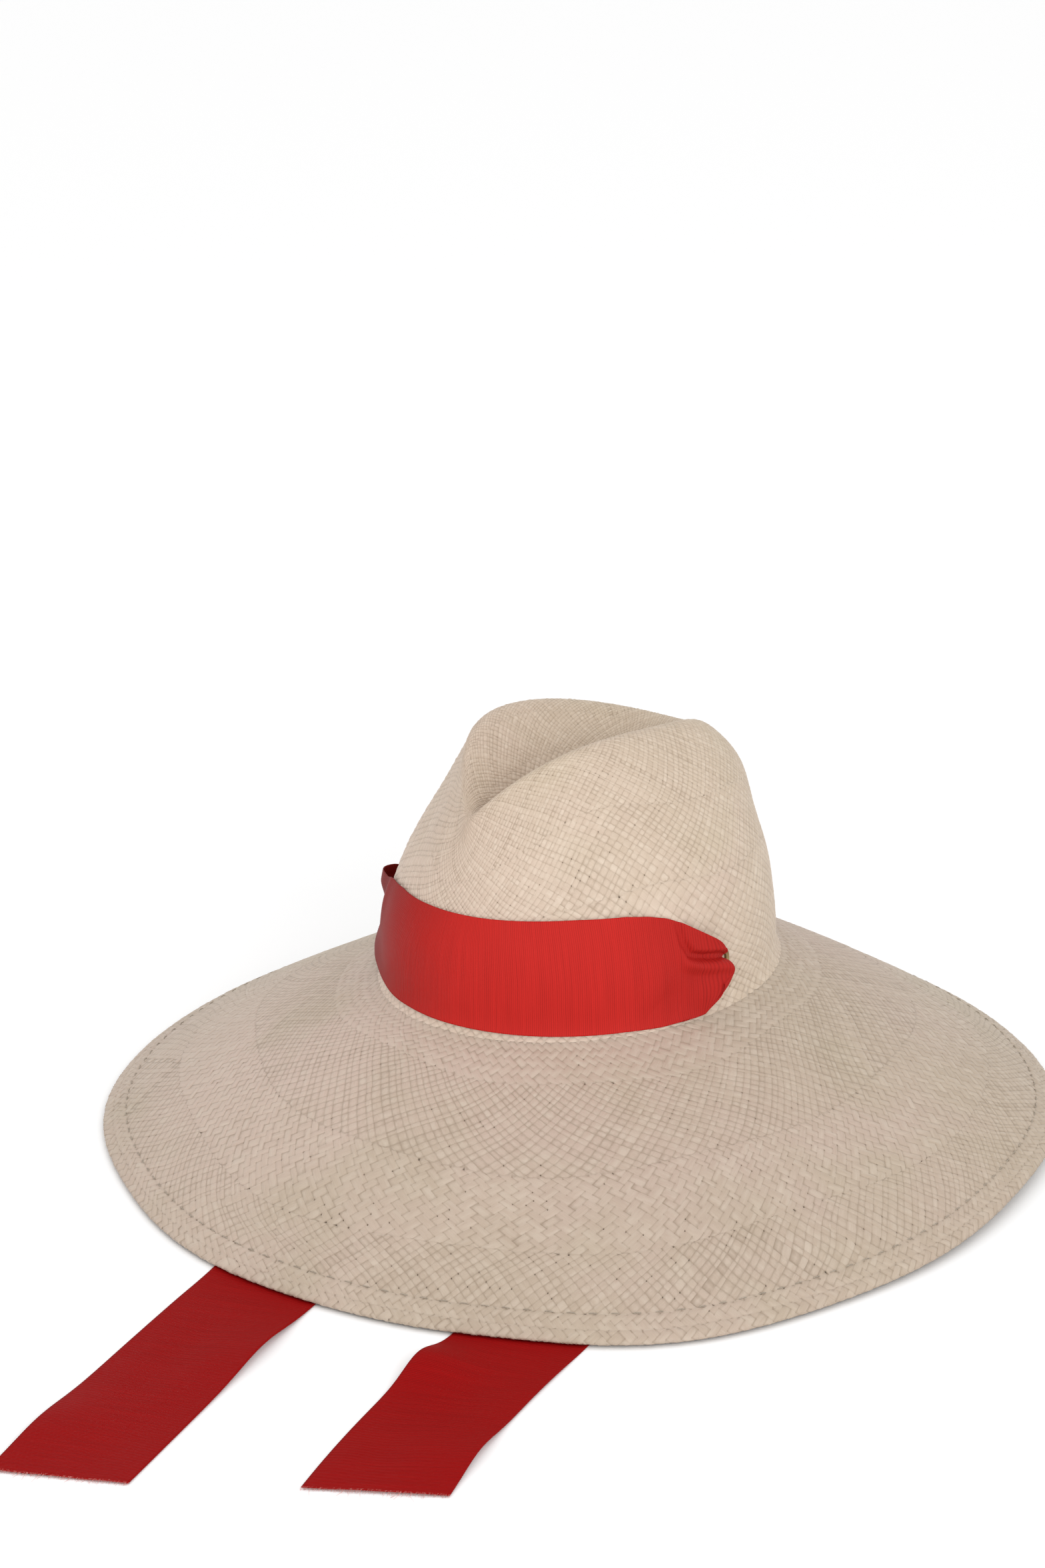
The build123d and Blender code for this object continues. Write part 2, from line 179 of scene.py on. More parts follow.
# ---- the hat's surface
DENT_AT, DENT_WIDTH = 40.0, 24.0  # where fingers pinch the front of the crown, in degrees
BUMP_AT, BUMP_WIDTH = 128.0, 26.0  # the ridge stands a little higher at the back on the left
POINTED_WIDTH = 38.0  # how wide the front stretch is where the ridges draw together


def ring(half_width, front, back, middle, height, **more):
    """A closed line round the hat: its half width, its reach to front and back of its middle, its height,
    and how it rises to the front (tilt) or to front and back (arch), drops into the crease (dip),
    narrows to the front (egg, pinch), is dented or stands out (dent, bump) and runs unevenly (stray)."""
    shape = dict.fromkeys(("tilt", "arch", "dip", "egg", "pinch", "dent", "bump", "stray"), 0.0)
    return dict(shape, half_width=half_width, front=front, back=back, middle=middle, height=height, **more)


def brim_ring(share):
    """A line round the brim, share being 0 at the crown and 1 at the edge."""
    half_width = CROWN_A + (BRIM_A - CROWN_A) * share
    half_length = CROWN_B + (BRIM_B - CROWN_B) * share
    height = EDGE_Z + (BREAK_Z - EDGE_Z) * ((1 - share) + BRIM_SAG * share * (1 - share))
    return ring(half_width, half_length, half_length, 0, height, stray=share ** 2.5)


def edge_ring(out, height):
    """A line round the brim's rolled edge."""
    return ring(BRIM_A + out, BRIM_B + out, BRIM_B + out, 0, height, stray=1.0)


RINGS = [
    ring(0.01, 0.01, 0.01, -16, 168.0),
    ring(4, 34, 34, -14, 169.0, arch=-0.5),
    ring(13, 52, 50, -13, 177.0, tilt=-1, arch=-3.5, pinch=0.3),
    ring(25, 65, 63, -11, 191.5, tilt=8.5, arch=-4.4, dip=21.0, pinch=0.5, bump=1),
    ring(34, 74, 76, -6, 197.4, tilt=11.8, arch=-4.6, dip=32.6, pinch=0.62, bump=3),
    ring(46, 79, 85, -3, 190.5, tilt=13, arch=-5.0, dip=35, egg=0.15, pinch=0.38, dent=2, bump=4.0),
    ring(59, 87, 92, 0, 177, tilt=13.0, arch=-5.0, dip=34, egg=0.18, pinch=0.12, dent=5, bump=2.5),
    ring(69.0, 93.5, 94.8, 1, 156, tilt=11, arch=-7, dip=26, egg=0.10, dent=5, bump=1),
    ring(77.5, 99, 98, 1, 137, tilt=8, arch=-5, dip=20, egg=0.04, dent=2),
    ring(83.6, 100.9, 100, 0, 111, dip=4),
    ring(85.3, 101.6, 101.5, 0, 94),
    ring(86, 102, 102, 0, 84.5),
    ring(87.6, 103.6, 103.6, 0, 80.2),
    *[brim_ring(share) for share in (0.05, 0.15, 0.4, 0.7, 0.9, 0.985)],
    *[edge_ring(out, height) for out, height in ((0.0, 3.5), (0.9, 2.4), (0.2, 1.5), (-2.4, 1.7))],
]
BREAK_RING, TOP_EDGE_RING, LAST_RING = 12, 19, 22
# swells of the brim's edge outwards and upwards: size in mm, middle and width in degrees
EDGE_OUT = ((12.0, 49.0, 17.0), (2.0, 22.0, 10.0), (-4.5, -29.0, 16.0), (-4.0, 103.0, 16.0))
EDGE_UP = ((4.5, 112.0, 28.0), (4.0, -118.0, 28.0), (2.0, 180.0, 30.0))


def uneven_edge(degrees, bells):
    """Sum of gentle swells round the brim's edge."""
    return sum(size * bell((degrees - at + 180) % 360 - 180, 0, width) for size, at, width in bells)


def ring_points(shape, turn):
    """Points of one ring."""
    s, c = np.sin(turn), np.cos(turn)
    degrees = np.degrees((turn + np.pi) % (2 * np.pi) - np.pi)
    narrow = 1 - shape["egg"] * ((1 + c) / 2) ** 1.5 - shape["pinch"] * bell(degrees, 0, POINTED_WIDTH)
    x = shape["half_width"] * s * narrow
    y = shape["middle"] - np.where(c > 0, shape["front"], shape["back"]) * c
    z = shape["height"] + shape["tilt"] * c + shape["arch"] * np.cos(2 * turn)
    z = z - shape["dip"] * bell(degrees, 0, 45.0)
    push = shape["dent"] * 2.4 * s * s * bell(abs(degrees), DENT_AT, DENT_WIDTH)
    bump = shape["bump"] * bell(degrees, BUMP_AT, BUMP_WIDTH)
    out = 0.6 * bump - push + shape["stray"] * uneven_edge(degrees, EDGE_OUT)
    z = z + bump + shape["stray"] * uneven_edge(degrees, EDGE_UP)
    return np.stack([x + out * s, y - out * c, z], -1)


def spline_matrix(knots):
    """Turns values at the knots into second derivatives of the natural cubic spline through them."""
    count, gap = len(knots), np.diff(knots)
    left, right = np.eye(count), np.zeros((count, count))
    for i in range(1, count - 1):
        left[i, i - 1], left[i, i], left[i, i + 1] = gap[i - 1], 2 * (gap[i - 1] + gap[i]), gap[i]
        right[i, i - 1], right[i, i + 1] = 6 / gap[i - 1], 6 / gap[i]
        right[i, i] = -6 / gap[i - 1] - 6 / gap[i]
    return np.linalg.solve(left, right)


TURN_STEPS = 720
turn_table = np.linspace(0, 2 * np.pi, TURN_STEPS + 1)
ring_table = np.stack([ring_points(shape, turn_table) for shape in RINGS])
ring_gaps = np.linalg.norm(np.diff(ring_table, axis=0), axis=2)[:, :-1].mean(1)
KNOTS = np.concatenate([[0], np.cumsum(ring_gaps)])
bend_table = np.tensordot(spline_matrix(KNOTS), ring_table, axes=1)


def surface(turn, station):
    """Points of the hat's outside; station is the distance from the middle of the crown's top."""
    turn, station = np.broadcast_arrays(np.asarray(turn, float), np.asarray(station, float))
    low = np.clip(np.searchsorted(KNOTS, station, side="right") - 1, 0, len(KNOTS) - 2)
    gap = (KNOTS[low + 1] - KNOTS[low])[..., None]
    t = (station - KNOTS[low])[..., None] / gap
    column = (turn % (2 * np.pi)) / (2 * np.pi) * TURN_STEPS
    first = np.minimum(np.floor(column).astype(int), TURN_STEPS - 1)
    part = (column - first)[..., None]

    def at(table, k):
        return table[k, first] * (1 - part) + table[k, first + 1] * part

    u = 1 - t
    curved = (u ** 3 - u) * at(bend_table, low) + (t ** 3 - t) * at(bend_table, low + 1)
    return at(ring_table, low) * u + at(ring_table, low + 1) * t + curved * gap * gap / 6


def surface_normal(turn, station):
    """Unit vectors that point away from the hat's outside."""
    step_turn, step_station = 0.004, 0.4
    along = surface(turn + step_turn, station) - surface(turn - step_turn, station)
    down = surface(turn, station + step_station) - surface(turn, np.maximum(station - step_station, 0.01))
    normal = np.cross(down, along)
    return normal / (np.linalg.norm(normal, axis=-1, keepdims=True) + 1e-12)


station_table = np.linspace(0, KNOTS[-1], 900)
loop_table = surface(turn_table[None, :], station_table[:, None])
radius_table = np.linalg.norm(np.diff(loop_table, axis=1), axis=2).sum(1) / (2 * np.pi)


def station_at_radius(radius):
    """The station where the hat has this mean radius."""
    top = np.searchsorted(station_table, KNOTS[TOP_EDGE_RING])
    return np.interp(radius, radius_table[:top], station_table[:top])


def wall_station(turn, height):
    """The station on the crown's wall that has this height."""
    low = np.full(np.broadcast(turn, height).shape, KNOTS[6])
    high = np.full(low.shape, KNOTS[BREAK_RING])
    for _ in range(24):
        middle = (low + high) / 2
        above = surface(turn, middle)[..., 2] > height
        low, high = np.where(above, middle, low), np.where(above, high, middle)
    return (low + high) / 2


# ---- weaving
SEAM_STATION = KNOTS[TOP_EDGE_RING] - 12.5  # the hem's seam
SECOND_SEAM = KNOTS[TOP_EDGE_RING] - 5.0  # a row of weave pulled in beyond it
SHOULDERS = {4: (0.0, 0.12, 0.5, 0.88), 2: (0.0, 0.5)}  # vertices across a strand, 0 to 1
UNEVEN_SPACING = 0.13  # spread of the strands' places, in strands
UNEVEN_LIFT = 0.12  # spread of the strands' heights, as a share of the relief
GAP_DEPTH, SLIT_DEPTH = -0.1, -1.6  # where four strands meet, closed or open


def strand_on_top(first, second, pattern):
    """True where a strand of the first set lies over one of the second set."""
    if pattern == "plain":
        return (first + second) % 2 == 0
    if pattern == "ring_twill":
        return (first - second) % 4 < 2
    return (first + second) % 4 < 2


def weave_twist(turn, station):
    """How far the weave has crept round the hat, so that its rows aren't perfectly even."""
    return (0.050 * np.sin(2 * turn + station / 47) + 0.026 * np.sin(3 * turn - station / 31 + 1.0)
            + 0.013 * np.sin(5 * turn + station / 19 + 2.0))


def row_drift(turn, station):
    """How far the weave's rows wander from true circles, nothing at the break and at the hem."""
    junction = KNOTS[BREAK_RING]
    on_brim = smooth_step(station, junction, junction + 30)
    on_brim = on_brim * (1 - smooth_step(station, SEAM_STATION - 22, SEAM_STATION - 4))
    on_crown = smooth_step(station, 60, 90) * (1 - smooth_step(station, junction - 30, junction - 8))
    wave = 3.2 * np.sin(3 * turn + station / 41) + 1.8 * np.sin(7 * turn - station / 27 + 0.7)
    return wave * (on_brim + 0.7 * on_crown)


def count_rows(first_station, last_station, strands, squash, fine):
    """Stations down a zone, the rows of weave counted down to each, and the number of half steps."""
    stations = np.linspace(first_station, last_station, 300)
    radius = np.interp(stations, station_table, radius_table)
    rows_per_mm = squash * strands / (2 * np.pi * radius)
    steps = (rows_per_mm[1:] + rows_per_mm[:-1]) / 2 * np.diff(stations)
    rows_down = np.concatenate([[0], np.cumsum(steps)])
    rows = max(4, int(round(rows_down[-1] * 2 * fine)))
    return stations, rows_down * (rows / (2 * fine) / rows_down[-1]), rows


def strand_place(cell, across, shift):
    """Where a vertex lies, counted in strands, with each strand's edge shifted."""
    low, high = shift[cell % len(shift)], shift[(cell + 1) % len(shift)]
    return cell + across + low * (1 - across) + high * across


def rounded(across):
    """Height of a strand across its width."""
    return 1 - 1.2 * (across - 0.5) ** 2


def weave_relief(cell_a, across_a, cell_b, across_b, pattern):
    """For each vertex how high the weave stands, 0 in a gap and 1 on a strand, whether a strand of the
    first set is on top, and whether four strands meet."""
    on_top, before_a, before_b, after_a, after_b = [
        strand_on_top(cell_a + a, cell_b + b, pattern) for a, b in ((0, 0), (-1, 0), (0, -1), (1, 0), (0, 1))]
    along = np.where(on_top, across_b, across_a)
    goes_on_before = np.where(on_top, before_b, ~before_a)
    goes_on_after = np.where(on_top, after_b, ~after_a)
    dive_before = np.where(goes_on_before | (along >= 0.5), 0, (0.5 - along) ** 2 * 2.6)
    dive_after = np.where(goes_on_after | (along <= 0.5), 0, (along - 0.5) ** 2 * 2.6)
    relief = rounded(np.where(on_top, across_a, across_b)) - dive_before - dive_after
    edge_a, edge_b = across_a == 0, across_b == 0
    groove_a = np.where(~on_top & ~before_a, rounded(across_b), np.where(on_top & before_a, 0.5, 0.25))
    groove_b = np.where(on_top & before_b, rounded(across_a), np.where(~on_top & ~before_b, 0.5, 0.25))
    relief = np.where(edge_a & ~edge_b, groove_a, relief)
    relief = np.where(edge_b & ~edge_a, groove_b, relief)
    return relief, on_top, edge_a & edge_b


def zone_faces(rows, around, fine):
    """Diamonds between three rows of vertices, triangles at each end, the two strands that cross on
    each face, and the first and last row's vertices."""
    def index(r, c):
        return r * around + c % around

    r = np.arange(rows - 1)[:, None]
    c = np.arange(around)[None, :]
    right = c + (r % 2)
    quads = np.stack([index(r, c), index(r + 1, right), index(r + 2, c + 0 * r), index(r + 1, right - 1)], -1)
    quad_a = (c + (r + r % 2) // 2) // fine
    quad_b = (c - (r - r % 2) // 2 - 1) // fine
    c = c.ravel()
    odd = rows % 2
    start = np.stack([index(0, c), index(0, c + 1), index(1, c)], -1)
    end = np.stack([index(rows, c + 1), index(rows, c), index(rows - 1, c + odd)], -1)
    end_a = (c + (rows + odd) // 2) // fine
    end_b = (c - (rows - odd) // 2) // fine
    return dict(quads=quads.reshape(-1, 4), triangles=np.concatenate([start, end]),
                quad_cells=(quad_a.ravel(), quad_b.ravel()),
                triangle_cells=(np.concatenate([c // fine, end_a]), np.concatenate([c // fine, end_b])),
                first_ring=index(0, c), last_ring=index(rows, c))


def woven_zone(zone, fine):
    """Vertices and faces of one zone of diagonal weave, its strands crossing in both directions.

    zone is (first station, last station, strands in each set, row squash, pattern, share of slits)."""
    first_station, last_station, strands, squash, pattern, slit_share = zone
    draw = np.random.default_rng(int(strands * 7 + first_station))
    stations, rows_down, rows = count_rows(first_station, last_station, strands, squash, fine)
    around = strands * fine
    row, column = np.meshgrid(np.arange(rows + 1), np.arange(around), indexing="ij")
    parity = row % 2
    cell_a, part_a = np.divmod(column + (row + parity) // 2, fine)
    cell_b, part_b = np.divmod(column - (row - parity) // 2, fine)
    across_a, across_b = np.array(SHOULDERS[fine])[part_a], np.array(SHOULDERS[fine])[part_b]
    place_a = strand_place(cell_a, across_a, draw.normal(0, UNEVEN_SPACING, strands))
    place_b = strand_place(cell_b, across_b, draw.normal(0, UNEVEN_SPACING, strands))

    turn = 2 * np.pi * (place_a + place_b) / 2 / strands
    down = np.clip((place_a - place_b) / 2, 0, rows_down[-1])
    station = np.interp(down, rows_down, stations)
    turn = turn + weave_twist(turn, station)
    station = station + row_drift(turn, station)
    inside = smooth_step(down, 0, 2) * smooth_step(rows_down[-1] - down, 0, 2)
    wobble = ripple(turn * 3, station / 14, strands)
    turn = turn + 0.006 * ripple(turn * 4, station / 18, strands + 1) * inside
    station = station + 0.5 * wobble * inside

    relief, on_top, corner = weave_relief(cell_a, across_a, cell_b, across_b, pattern)
    crowd = 0.5 + 0.5 * ripple(turn * 5, station / 9, strands + 5)
    slit = draw.random(corner.shape) < slit_share * 4 * crowd ** 3
    lift = draw.normal(0, UNEVEN_LIFT, strands)
    relief = relief + np.where(on_top, lift[cell_a % strands], lift[cell_b % strands])
    relief = np.where(corner, np.where(slit, SLIT_DEPTH, GAP_DEPTH), relief)
    return dict(zone_faces(rows, around, fine), turn=turn.ravel(), station=station.ravel(),
                relief=relief.ravel(), place_a=place_a.ravel(), place_b=place_b.ravel(),
                tint=draw.random((2, strands)), strands=strands, pattern=pattern)


def zip_rings(first, first_turn, second, second_turn):
    """Triangles between two closed rings of vertices with different counts."""
    order_a, order_b = np.argsort(first_turn), np.argsort(second_turn)
    first, second = first[order_a], second[order_b]
    next_a, next_b = [np.append(turn[1:], turn[0] + 2 * np.pi)
                      for turn in (first_turn[order_a], second_turn[order_b])]
    count_a, count_b = len(first), len(second)
    triangles = []
    i = j = 0
    while i < count_a or j < count_b:
        if i < count_a and (j >= count_b or next_a[i] <= next_b[j]):
            triangles.append((first[i], first[(i + 1) % count_a], second[j % count_b]))
            i += 1
        else:
            triangles.append((first[i % count_a], second[(j + 1) % count_b], second[j]))
            j += 1
    return np.array(triangles)


def joined_zones(parts):
    """Faces of all the zones as one sheet, and how many triangles at the end zip the zones together."""
    starts = np.cumsum([0] + [len(part["turn"]) for part in parts])
    quads = np.concatenate([part["quads"] + start for part, start in zip(parts, starts)])
    triangles = [part["triangles"] + start for part, start in zip(parts, starts)]
    for above, below, start, next_start in zip(parts[:-1], parts[1:], starts[:-1], starts[1:]):
        first, second = above["last_ring"], below["first_ring"]
        triangles.append(zip_rings(first + start, above["turn"][first] % (2 * np.pi),
                                   second + next_start, below["turn"][second] % (2 * np.pi)))
    return quads, np.concatenate(triangles), sum(len(strip) for strip in triangles[len(parts):])


def strand_on_faces(parts, zipped):
    """For each face in turn, whether a strand of the first set shows on it, and that strand's tint."""
    top, tints = [], []
    for kind in ("quad_cells", "triangle_cells"):
        for part in parts:
            a, b = part[kind]
            on_top = strand_on_top(a, b, part["pattern"])
            tint_a, tint_b = part["tint"][0, a % part["strands"]], part["tint"][1, b % part["strands"]]
            top.append(on_top)
            tints.append(np.where(on_top, tint_a, tint_b))
    return np.concatenate(top + [np.ones(zipped, bool)]), np.concatenate(tints + [np.full(zipped, 0.5)])


def woven_piece(name, zones, depth_of, outward, material):
    """A sheet of weave over the hat's surface.  depth_of gives how far below the outside it lies."""
    fine, relief = (4, RELIEF) if outward else (2, INSIDE_RELIEF)
    parts = [woven_zone(zone, fine) for zone in zones]
    turn, station, height, place_a, place_b = [np.concatenate([part[key] for part in parts])
                                               for key in ("turn", "station", "relief", "place_a", "place_b")]
    quads, triangles, zipped = joined_zones(parts)
    sign = 1.0 if outward else -1.0
    below = sign * relief * (height - 1) - depth_of(station)
    points = surface(turn, station) + surface_normal(turn, station) * below[:, None]
    if not outward:
        quads, triangles = quads[:, ::-1], triangles[:, ::-1]
    piece = new_piece(name, points, quads, triangles)

    # the strand that shows on each face, its tint and its own coordinates
    top, tints = strand_on_faces(parts, zipped)
    corners = corner_indices(piece)
    face_of_corner = np.concatenate([np.repeat(np.arange(len(quads)), 4),
                                     len(quads) + np.repeat(np.arange(len(triangles)), 3)])
    on_top = top[face_of_corner]
    place_a, place_b = place_a[corners], place_b[corners]
    set_uv(piece, "strand", np.stack([np.where(on_top, place_a, place_b),
                                      np.where(on_top, place_b, place_a)], -1))
    colour = piece.data.color_attributes.new("tint", "FLOAT_COLOR", "CORNER")
    values = np.stack([tints[face_of_corner], on_top.astype(float), 0 * place_a, 0 * place_a + 1], -1)
    colour.data.foreach_set("color", values.astype(np.float32).ravel())
    relief_attribute = piece.data.attributes.new("relief", "FLOAT", "POINT")
    relief_attribute.data.foreach_set("value", height.astype(np.float32))
    reach = 0.05 + 0.44 * (station - station.min()) / (station.max() - station.min())
    flat = np.stack([0.5 + reach * np.sin(turn), 0.5 + reach * np.cos(turn)], -1)
    set_uv(piece, "OFBake", flat[corners])
    give(piece, material)
    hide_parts("straw_body")
    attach(piece, "hat")


# ---- shader helpers
class Nodes:
    """A few short ways to add and join shader nodes."""

    def __init__(self, name):
        self.material = bpy.data.materials.new(name)
        self.material.use_nodes = True
        self.tree = self.material.node_tree
        self.shader = self.tree.nodes["Principled BSDF"]

    def put(self, socket, value):
        if isinstance(value, bpy.types.NodeSocket):
            self.tree.links.new(value, socket)
        elif isinstance(value, tuple) and len(value) == 3 and socket.type == "RGBA":
            socket.default_value = (*value, 1)
        else:
            socket.default_value = value

    def add(self, kind, inputs=(), **settings):
        """Outputs of a new node with these settings and inputs, pairs of name or number and value."""
        node = self.tree.nodes.new(kind)
        for key, value in settings.items():
            setattr(node, key, value)
        for key, value in inputs:
            self.put(node.inputs[key], value)
        return node.outputs

    def math(self, operation, *values):
        return self.add("ShaderNodeMath", enumerate(values), operation=operation)[0]

    def mix(self, factor, a, b, blend="MIX"):
        inputs = (("Factor", factor), ("A", a), ("B", b))
        return self.add("ShaderNodeMix", inputs, data_type="RGBA", blend_type=blend)["Result"]

    def between(self, *limits):
        """A value brought from between two limits to between two others, 0 and 1 unless given."""
        return self.add("ShaderNodeMapRange", enumerate(limits))["Result"]

    def attribute(self, name):
        return self.add("ShaderNodeAttribute", attribute_name=name)

    def uv(self, name):
        return self.add("ShaderNodeUVMap", uv_map=name)["UV"]

    def noise(self, vector, scale, detail=2.0, roughness=0.5):
        inputs = (("Vector", vector), ("Scale", scale), ("Detail", detail), ("Roughness", roughness))
        return self.add("ShaderNodeTexNoise", inputs)["Fac"]

    def stretch(self, vector, scale):
        return self.add("ShaderNodeMapping", (("Vector", vector), ("Scale", scale)))["Vector"]

    def bump(self, height, distance, strength):
        inputs = (("Height", height), ("Distance", distance), ("Strength", strength))
        return self.add("ShaderNodeBump", inputs)["Normal"]

    def finish(self, **sockets):
        for name, value in sockets.items():
            self.put(self.shader.inputs[name.replace("_", " ")], value)
        return self.material


# ---- materials
def straw_material(name, painted_shade=1.0):
    """Toquilla straw: strands of slightly different tints, fibres along each, painted shade in the gaps and
    pits, and, where asked, painted shade over the whole colour.
    """
    n = Nodes(name)
    tint = n.add("ShaderNodeSeparateColor", [(0, n.attribute("tint")["Color"])])[0]
    relief = n.attribute("relief")["Fac"]
    place = n.add("ShaderNodeTexCoord")["Object"]
    ivory, cream, blush, green = STRAW_COLOURS
    strand = n.mix(tint, ivory, cream)
    pink = n.between(n.noise(place, 9.0), 0.42, 0.66)
    strand = n.mix(n.math("MULTIPLY", pink, 0.7), strand, blush)
    away = n.add("ShaderNodeVectorMath", [(0, place), (1, PINK_SPOT)], operation="DISTANCE")
    strand = n.mix(n.between(away["Value"], 0.03, 0.20, 0.8, 0.0), strand, PINK_STRAW)
    tan = n.between(n.noise(place, 17.0), 0.5, 0.72)
    strand = n.mix(n.math("MULTIPLY", tan, 0.5), strand, green)
    fibre = n.noise(n.stretch(n.uv("strand"), (9.0, 0.55, 1.0)), 1.0, detail=4.0, roughness=0.65)
    strand = n.mix(n.between(fibre, 0.30, 0.75, 0.0, 0.28), strand, FIBRE_BROWN)
    patch = n.noise(n.stretch(n.uv("strand"), (1.0, 0.22, 1.0)), 1.0)
    strand = n.mix(n.between(patch, 0.45, 0.75, 0.0, 0.45), strand, PALE_STRAW)
    # painted shade: darker in the gaps between strands, nearly black in the open pits
    gap = n.between(relief, -0.1, 0.62, 1.0, 0.0)
    strand = n.mix(n.math("MULTIPLY", gap, 0.66), strand, GAP_PAINTED_SHADE)
    strand = n.mix(n.between(relief, -1.2, -0.25, 1.0, 0.0), strand, PIT_PAINTED_SHADE)
    # painted shade: the whole straw colour multiplied down for a copy that stands for less light
    if painted_shade != 1.0:
        strand = n.mix(1.0, strand, (painted_shade, painted_shade, painted_shade), "MULTIPLY")
    return n.finish(Base_Color=strand, Roughness=n.between(fibre, 0.2, 0.8, 0.42, 0.62),
                    Normal=n.bump(fibre, 0.0006, 0.35), Specular_IOR_Level=0.36,
                    Sheen_Weight=0.04, Sheen_Roughness=0.5)


def ribbon_material(name, red, specular, dusky=()):
    """Grosgrain: fine ribs across the ribbon, uneven threads, and stretches painted darker as painted shade.
    """
    n = Nodes(name)
    uv = n.uv("ribbon")
    along = n.add("ShaderNodeSeparateXYZ", [(0, uv)])[0]
    wander = n.noise(n.stretch(uv, (0.05, 0.10, 1.0)), 1.0)
    rib_place = n.math("ADD", along, n.math("MULTIPLY", wander, 0.5))
    rib = n.math("SINE", n.math("MULTIPLY", rib_place, 2 * math.pi / RIB_PITCH))
    rib_height = n.math("MULTIPLY_ADD", rib, 0.5, 0.5)
    thread = n.noise(n.stretch(uv, (2.2, 9.0, 1.0)), 1.0, detail=3.0)
    slub = n.noise(n.stretch(uv, (0.9, 0.02, 1.0)), 1.0, detail=2.0)
    dark, bright, dusk = [tuple(share * channel for channel in red) for share in (0.7, 1.15, 0.3)]
    colour = n.mix(n.between(rib_height, 0.0, 0.55), dark, red)
    colour = n.mix(n.between(slub, 0.35, 0.7, 0.0, 0.5), colour, bright)
    colour = n.mix(n.between(thread, 0.45, 0.85, 0.0, 0.35), colour, dark)
    # painted shade: these stretches are darkened towards a third of the red
    for stretch in dusky:
        colour = n.mix(n.between(along, *stretch), colour, dusk)
    height = n.math("ADD", rib_height, n.math("MULTIPLY", thread, 0.25))
    return n.finish(Base_Color=colour, Roughness=n.between(thread, 0.2, 0.8, 0.42, 0.58),
                    Normal=n.bump(height, 0.00016, 0.7), Specular_IOR_Level=specular)


def brass_material():
    """Antique brass: darkened in patches and brighter where it is rubbed."""
    n = Nodes("antique_brass")
    place = n.add("ShaderNodeTexCoord")["Object"]
    patch = n.noise(place, 260.0, detail=4.0)
    colour = n.mix(n.between(patch, 0.35, 0.7), (0.32, 0.22, 0.10), (0.13, 0.085, 0.045))
    return n.finish(Base_Color=colour, Roughness=n.between(patch, 0.3, 0.8, 0.28, 0.5),
                    Normal=n.bump(n.noise(place, 900.0, detail=3.0), 0.0002, 0.25), Metallic=1.0)


def cloth_material(name, colour, worn, scale=1.0):
    """Close cotton weave for the sweatband, its tape and the threads."""
    n = Nodes(name)
    uv = n.uv("ribbon")
    x, y = n.add("ShaderNodeSeparateXYZ", [(0, uv)])[:2]
    warp, weft = [n.math("SINE", n.math("MULTIPLY", place, 2 * math.pi / (THREAD_PITCH * scale)))
                  for place in (x, y)]
    cross = n.math("MULTIPLY", warp, weft)
    soil = n.noise(n.stretch(uv, (0.03, 0.09, 1.0)), 1.0, detail=3.0)
    base = n.mix(n.between(soil, 0.4, 0.7, 0.0, 0.8), colour, worn)
    base = n.mix(n.between(cross, -1.0, 1.0, 0.35, 0.0), base, (0.30, 0.24, 0.17))
    return n.finish(Base_Color=base, Roughness=0.85, Normal=n.bump(cross, 0.00018, 0.7),
                    Sheen_Weight=0.25, Sheen_Roughness=0.5)


def give(piece, material):
    """Makes this the piece's only material."""
    piece.data.materials.clear()
    piece.data.materials.append(material)


# ---- straw body
def hem_depth(station):
    """The underside lies one layer down, and deeper inside the turned-under hem."""
    share = (station - KNOTS[BREAK_RING]) / (KNOTS[TOP_EDGE_RING] - KNOTS[BREAK_RING])
    return STRAW + (STRAW * 0.75) * smooth_step(share, 0.925, 0.935)


def hem_step(station):
    """The hem stands a little proud of the brim; its seams and the join with the crown are pulled in."""
    junction, edge = KNOTS[BREAK_RING], KNOTS[TOP_EDGE_RING]
    proud = 0.35 * smooth_step(station, SEAM_STATION + 0.5, SEAM_STATION + 2.0)
    pulled = 0.2 * bell(station, SEAM_STATION, 0.9) + 0.25 * smooth_step(station, junction + 2, junction)
    second = 0.15 * bell(station, SECOND_SEAM, 0.8)
    return pulled + second - proud * (1 - smooth_step(station, edge - 2, edge))


